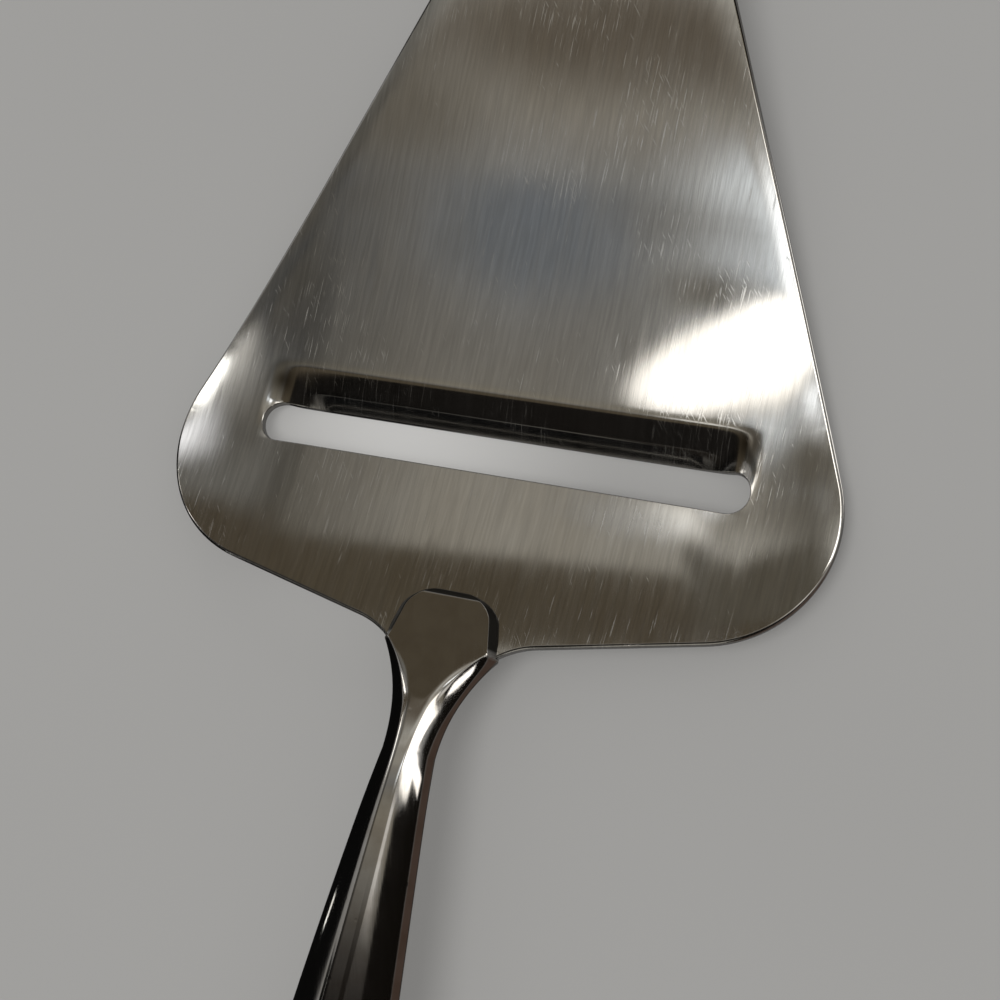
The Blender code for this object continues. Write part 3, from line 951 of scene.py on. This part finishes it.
def make_floor():
    """A pale floor with faint clouds that glows evenly, and a painted pool of light, a brighter glow, under
    the slot.
    """
    floor = plane("floor", FLOOR_HALF, FLOOR_HALF)
    made, tree = empty_surface("pale_floor")
    coords = node(tree, "TexCoord", {}).outputs["Object"]
    clouds = remap(tree, noise(tree, coords, *FLOOR_CLOUDS), NOISE, CLOUD_TONE)
    # Painted pool of light under the slot
    to_pool = node(tree, "VectorMath", {0: coords, 1: POOL_CENTRE}, operation="DISTANCE")
    pool = soft_share(tree, to_pool.outputs["Value"], 0.0, POOL_RADIUS)
    strength = calc(tree, "MULTIPLY_ADD", pool, POOL_GLOW, clouds)
    diffuse = node(tree, "BsdfDiffuse", {"Color": FLOOR_COLOUR})
    glow = node(tree, "Emission", {"Color": FLOOR_GLOW, "Strength": strength})
    both = node(tree, "AddShader", {0: diffuse.outputs[0], 1: glow.outputs[0]})
    node(tree, "OutputMaterial", {"Surface": both.outputs[0]})
    floor.data.materials.append(made)
    floor.visible_glossy = False


def hang(card, centre, turned):
    """Hangs a card over a point of the slicer's own frame, where it shows in the metal and nowhere else."""
    card.matrix_world = LYING @ Matrix.Translation(centre) @ turned
    card.visible_camera = False
    card.visible_diffuse = False
    card.visible_shadow = False
    card.visible_transmission = False


def hang_card(name, centre, half_sizes, glow, soft, square=False, spin=0.0, upright=None):
    """Hangs an oval or a rectangle that glows, with a soft border.

    Lengths are in millimetres and spin is in degrees. An axis given as upright turns the card up about it.
    """
    half_x, half_y = (size * MM for size in half_sizes)
    card = plane(name, half_x, half_y)
    made, tree = empty_surface(name)
    coords = node(tree, "TexCoord", {}).outputs["Object"]
    scaled = node(tree, "Mapping", {"Vector": coords, "Scale": (1 / half_x, 1 / half_y, 1.0)}).outputs[0]
    if square:
        size = node(tree, "VectorMath", {0: scaled}, operation="ABSOLUTE").outputs[0]
        parts = node(tree, "SeparateXYZ", {"Vector": size}).outputs
        radius = calc(tree, "MAXIMUM", parts["X"], parts["Y"])
    else:
        radius = node(tree, "VectorMath", {0: scaled}, operation="LENGTH").outputs["Value"]
    share = soft_share(tree, radius, 1.0 - soft, 1.0)
    lit = node(tree, "Emission", {"Color": (*glow, 1.0)})
    clear = node(tree, "BsdfTransparent", {})
    mixed = node(tree, "MixShader", {0: share, 1: clear.outputs[0], 2: lit.outputs[0]})
    node(tree, "OutputMaterial", {"Surface": mixed.outputs[0]})
    card.data.materials.append(made)
    turned = Matrix.Rotation(radians(spin), 4, "Z")
    if upright:
        turned = Matrix.Rotation(radians(90.0), 4, upright) @ turned
    hang(card, [length * MM for length in centre], turned)


# The ceiling's tones along y, in millimetres of the slicer's own frame
CEILING_HEIGHT = 240.0 * MM
CEILING_SIDE = 260.0 * MM
CEILING_START = -330.0 * MM
CEILING_STOP = 260.0 * MM
CEILING_TONES = (
    (-330, (0.10, 0.096, 0.088)),
    (-235, (0.10, 0.096, 0.088)),
    (-195, (0.007, 0.006, 0.005)),
    (-34, (0.010, 0.009, 0.008)),
    (-6, (0.06, 0.055, 0.05)),
    (18, (0.20, 0.19, 0.17)),
    (45, (0.26, 0.24, 0.20)),
    (66, (0.235, 0.22, 0.185)),
    (78, (0.215, 0.205, 0.185)),
    (83, (0.20, 0.205, 0.21)),
    (89, (0.27, 0.27, 0.26)),
    (98, (0.27, 0.255, 0.23)),
    (106, (0.36, 0.34, 0.295)),
    (119, (0.32, 0.305, 0.27)),
    (135, (0.54, 0.53, 0.49)),
    (165, (0.54, 0.53, 0.49)),
    (188, (0.23, 0.215, 0.18)),
    (215, (0.17, 0.14, 0.10)),
    (260, (0.06, 0.05, 0.04)),
)
DIM_SPAN = (-165.0 * MM, -112.0 * MM)
DIM_LEFT = 0.33


def make_ceiling():
    """The room above, seen only in the metal: light over the blade, dim to the left, dark over the handle."""
    half_y = (CEILING_STOP - CEILING_START) / 2
    middle_y = (CEILING_STOP + CEILING_START) / 2
    card = plane("ceiling_card", CEILING_SIDE, half_y)
    made, tree = empty_surface("ceiling_card")
    coords = node(tree, "TexCoord", {}).outputs["Object"]
    parts = node(tree, "SeparateXYZ", {"Vector": coords}).outputs
    ramp = node(tree, "ValToRGB", {"Fac": remap(tree, parts["Y"], (-half_y, half_y), WHOLE)})
    stops = ramp.color_ramp.elements
    for i, (y, colour) in enumerate(CEILING_TONES):
        along = (y * MM - CEILING_START) / (CEILING_STOP - CEILING_START)
        # A new ramp already has two stops
        stop = stops[i] if i < 2 else stops.new(along)
        stop.position = along
        stop.color = (*colour, 1.0)
    dim = remap(tree, parts["X"], DIM_SPAN, (DIM_LEFT, 1.0))
    glow = node(tree, "Emission", {"Color": ramp.outputs[0], "Strength": dim})
    node(tree, "OutputMaterial", {"Surface": glow.outputs[0]})
    card.data.materials.append(made)
    hang(card, (0.0, middle_y, CEILING_HEIGHT), Matrix.Identity(4))


def hang_cards():
    """What the metal mirrors besides the ceiling: lamps, pale cards, dim ones and dark ones."""
    # Lamps
    hang_card("glare_lamp", (18.4, 24.0, 30), (17.2, 5.7), (2.2, 2.15, 2.05), soft=0.3, spin=20.4)
    hang_card("rim_lamp", (46, 33, 30), (7, 16), (3.0, 2.95, 2.85), soft=0.4, spin=17.0)
    hang_card("scuff_lamp", (14.8, 10.9, 30), (8.5, 2.0), (1.2, 1.18, 1.12), soft=0.9)
    hang_card("left_lamp", (-64.6, 20.7, 30), (12.9, 1.9), (3.4, 3.4, 3.3), soft=0.3, square=True,
              spin=-16.0)
    hang_card("ridge_lamp_left", (-86, 10, 55), (14, 13), (2.6, 2.55, 2.45), soft=0.25, square=True,
              spin=12.0)
    hang_card("neck_lamp_right", (197, 132, 237), (152, 42), (2.6, 2.55, 2.45), soft=0.2, square=True)
    hang_card("ridge_lamp_right", (18, -23.3, 21.5), (1.5, 6.2), (2.4, 2.35, 2.3), soft=0.3, square=True,
              spin=53.5, upright="Y")
    hang_card("edge_lamp_right", (52, 32, -15), (18, 24), (1.6, 1.58, 1.54), soft=0.3, square=True)
    hang_card("bevel_lamp_left", (-58, -46.2, 6.5), (2.2, 2.8), (1.6, 1.6, 1.55), soft=0.4, square=True,
              upright="Y")

    # Pale cards
    hang_card("grip_lamp_right", (130, 44, 236), (70, 48), (0.75, 0.73, 0.70), soft=0.7, square=True)
    hang_card("left_halo", (-51, 19, 30.5), (7.5, 4.2), (0.6, 0.59, 0.56), soft=0.9, spin=-16.0)
    hang_card("ear_card", (-55.5, 13.2, 29), (9, 3.8), (1.4, 1.43, 1.5), soft=0.9)
    hang_card("blue_card", (-28, 89, 239), (34, 15), (1.1, 1.18, 1.25), soft=0.9)
    hang_card("rim_card", (6, 96, 239.5), (26, 20), (2.2, 2.3, 2.4), soft=0.9)
    hang_card("back_card", (160, -460, 236), (240, 300), (0.34, 0.33, 0.30), soft=0.12, square=True)
    hang_card("back_card_left", (-520, -510, 236), (170, 260), (0.34, 0.33, 0.30), soft=0.12, square=True)

    # Dim cards
    hang_card("tip_card", (-45, 97, 150), (85, 23), (0.135, 0.115, 0.09), soft=0.8)
    hang_card("shade_left", (-88, 76, 149), (30, 17), (0.155, 0.14, 0.115), soft=0.9)
    hang_card("blue_shade", (-23, 40, 60), (23, 8), (0.17, 0.187, 0.208), soft=0.8)
    hang_card("shade_right", (4, 37.5, 60), (13, 3.2), (0.16, 0.15, 0.13), soft=0.8)
    hang_card("brown_over_heel", (-12, 4.2, 36), (70, 3.9), (0.085, 0.07, 0.048), soft=0.2, square=True,
              spin=3.0)
    hang_card("brown_right_heel", (24.8, 8.3, 30.5), (10.4, 5.0), (0.10, 0.09, 0.07), soft=0.45, square=True,
              spin=24.0)
    hang_card("brown_right_ear", (29, 17.4, 30.4), (12, 4.9), (0.12, 0.11, 0.09), soft=0.75, spin=14.0)
    hang_card("brown_left", (-50, 1.5, 31), (20, 8.5), (0.08, 0.066, 0.046), soft=0.5)
    hang_card("brown_right", (62, -62, -21), (44, 66), (0.075, 0.052, 0.042), soft=0.3, square=True,
              upright="Y")

    # Dark cards
    hang_card("dark_over_grip", (0, -70, 60), (15, 44), (0.012, 0.010, 0.008), soft=0.5, square=True)
    hang_card("dark_behind", (-215, -480, 238), (135, 170), (0.004, 0.004, 0.004), soft=0.1, square=True)
    hang_card("dark_far_left", (-450, -125, 239), (190, 115), (0.006, 0.006, 0.005), soft=0.1, square=True)
    hang_card("dark_left", (-60, -65, -15), (49, 72), (0.004, 0.004, 0.004), soft=0.1, square=True,
              spin=-8.0, upright="Y")
    hang_card("dark_right", (60, -64.5, 48), (32, 61.5), (0.006, 0.005, 0.004), soft=0.1, square=True,
              upright="Y")
    hang_card("dark_tip", (-15, 76, 20), (80, 18), (0.004, 0.004, 0.004), soft=0.2, square=True, upright="X")


ROOM_COLOUR = (1.0, 0.99, 0.97, 1.0)
ROOM_STRENGTH = (0.12, 0.30)
HORIZON = (0.0, 0.35)
KEY_PLACE = Vector((-0.05, -0.1, 0.7))
KEY_SIZE = 0.4
KEY_POWER = 1.1


def make_world():
    """A grey room that is dimmer below the horizon."""
    world = bpy.data.worlds.new("studio")
    bpy.context.scene.world = world
    world.use_nodes = True
    tree = world.node_tree
    coords = node(tree, "TexCoord", {}).outputs["Generated"]
    parts = node(tree, "SeparateXYZ", {"Vector": coords}).outputs
    background = tree.nodes["Background"]
    tree.links.new(remap(tree, parts["Z"], HORIZON, ROOM_STRENGTH), background.inputs["Strength"])
    background.inputs["Color"].default_value = ROOM_COLOUR


def make_key_light():
    """A soft lamp that lights the floor, aimed at the slicer and unseen in the metal."""
    data = bpy.data.lights.new("key_light", "AREA")
    data.shape = "DISK"
    data.size = KEY_SIZE
    data.energy = KEY_POWER
    made = bpy.data.objects.new("key_light", data)
    bpy.context.scene.collection.objects.link(made)
    made.location = KEY_PLACE
    made.rotation_euler = KEY_PLACE.to_track_quat("Z", "Y").to_euler()
    made.visible_glossy = False


# Camera, at the photograph's viewing angle

FOCAL_PIXELS = 1700.0
IMAGE_PIXELS = 1000.0
SENSOR_MM = 36.0
CLIP_START = 10.0 * MM
CAMERA_YAW = radians(-20.0)
CAMERA_PITCH = radians(-1.19)
CAMERA_ROLL = radians(-10.04)
CAMERA_SHIFT = Vector((-0.44 * MM, 2.21 * MM, 0.0))
CAMERA_DISTANCE = 178.46 * MM


def make_camera():
    """The camera, placed from the upper face of the blade."""
    turn = (Matrix.Rotation(CAMERA_ROLL, 3, "Z") @ Matrix.Rotation(CAMERA_PITCH, 3, "X")
            @ Matrix.Rotation(CAMERA_YAW, 3, "Y"))
    centre = turn.transposed() @ (Vector((0.0, 0.0, CAMERA_DISTANCE)) - CAMERA_SHIFT)
    data = bpy.data.cameras.new("photo_camera")
    data.sensor_width = SENSOR_MM
    data.lens = FOCAL_PIXELS / IMAGE_PIXELS * SENSOR_MM
    data.clip_start = CLIP_START
    camera = bpy.data.objects.new("photo_camera", data)
    bpy.context.scene.collection.objects.link(camera)
    upper_face = Matrix.Translation((0.0, 0.0, SHEET / 2))
    camera.matrix_world = LYING @ upper_face @ Matrix.Translation(centre) @ turn.transposed().to_4x4()
    bpy.context.scene.camera = camera


# The scene

blade = make_blade()
front_shell, back_shell = make_shells()
dress(blade, blade_surface(), "slicer_blade")
dress(front_shell, handle_surface("polished_steel", FRONT_TINT), "handle_front_shell")
dress(back_shell, handle_surface("polished_steel_back", BACK_TINT), "handle_back_shell")
filler = frame["nodes"]["handle_filler"]
filler.data.materials.clear()
filler.data.materials.append(cement_surface())

make_floor()
make_world()
make_ceiling()
hang_cards()
make_key_light()
make_camera()

bpy.context.scene.view_settings.view_transform = "Standard"
